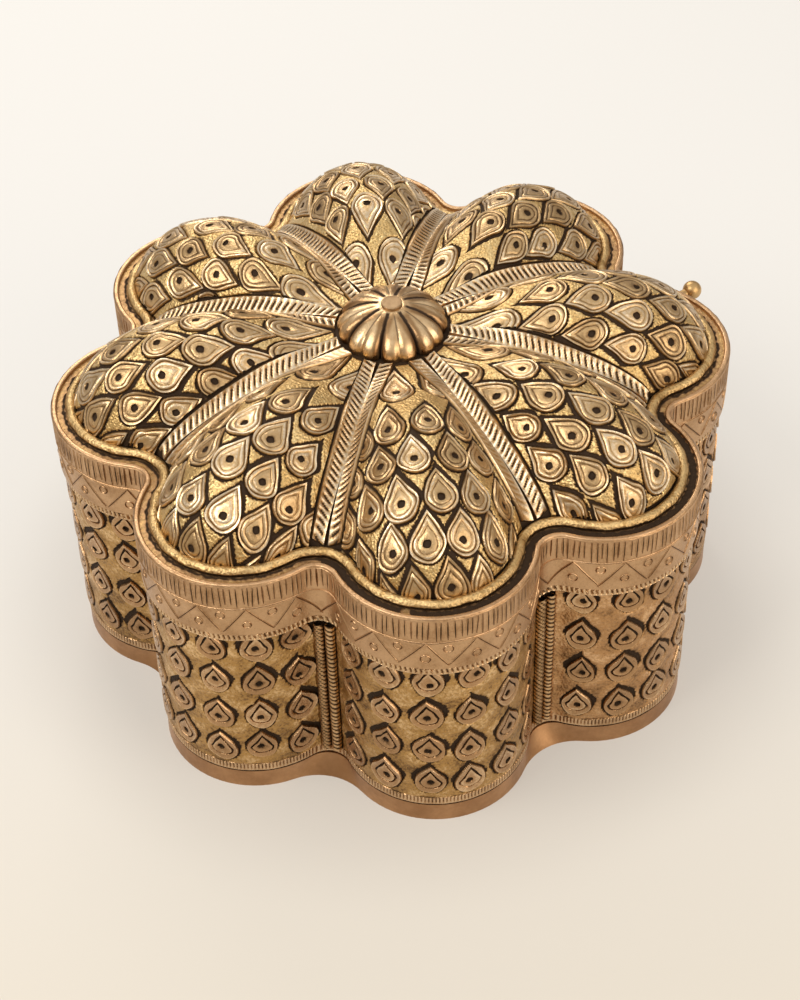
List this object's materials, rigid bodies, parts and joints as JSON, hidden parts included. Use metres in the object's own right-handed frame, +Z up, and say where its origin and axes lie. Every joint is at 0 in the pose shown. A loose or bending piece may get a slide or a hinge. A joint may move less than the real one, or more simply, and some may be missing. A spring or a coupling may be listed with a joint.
{
  "type": "lidded box",
  "caption": "Flower-shaped brass box with a hinged domed lid, puffed petals, a fluted knob, a deep lobed skirt and a plain foot.",
  "frame": {"origin": "centre of the underside, on the axis of the flower", "axes": "+Z up; +Y from the front towards the hinge, which is in the valley at +Y; +X to the right seen from the front"},
  "size_m": [0.1454, 0.1593, 0.0861],
  "materials": {
    "gold_brass": "chased brass with black patina in the recesses",
    "copper_brass": "reddish chased brass with black patina in the recesses",
    "polished_brass": "worn polished brass",
    "plain_brass": "plain dull brass"
  },
  "bodies": {
    "box": {"body_wall": "copper_brass", "wall_scales": "copper_brass", "inner_lip": "plain_brass", "base_plate": "plain_brass", "foot_band": "copper_brass", "foot_rope": "copper_brass", "body_top_rope": "copper_brass", "body_valley_ropes": "copper_brass", "hinge_body_lug": "plain_brass", "hinge_pin": "plain_brass"},
    "lid": {"lid_dome": "gold_brass", "petal_scales": "gold_brass", "lid_skirt": "copper_brass", "lid_border_roll": "gold_brass", "lid_valley_bands": "gold_brass", "knob_rosette": "polished_brass", "knob_rivet": "polished_brass", "knob_washer": "plain_brass", "hinge_lid_lug": "plain_brass"}
  },
  "joints": [
    {"name": "lid_hinge", "type": "hinge", "parent": "box", "child": "lid", "pos_m": [0, 0.07635, 0.0515], "axis": [-1, 0, 0], "range_deg": [0, 103]}
  ]
}
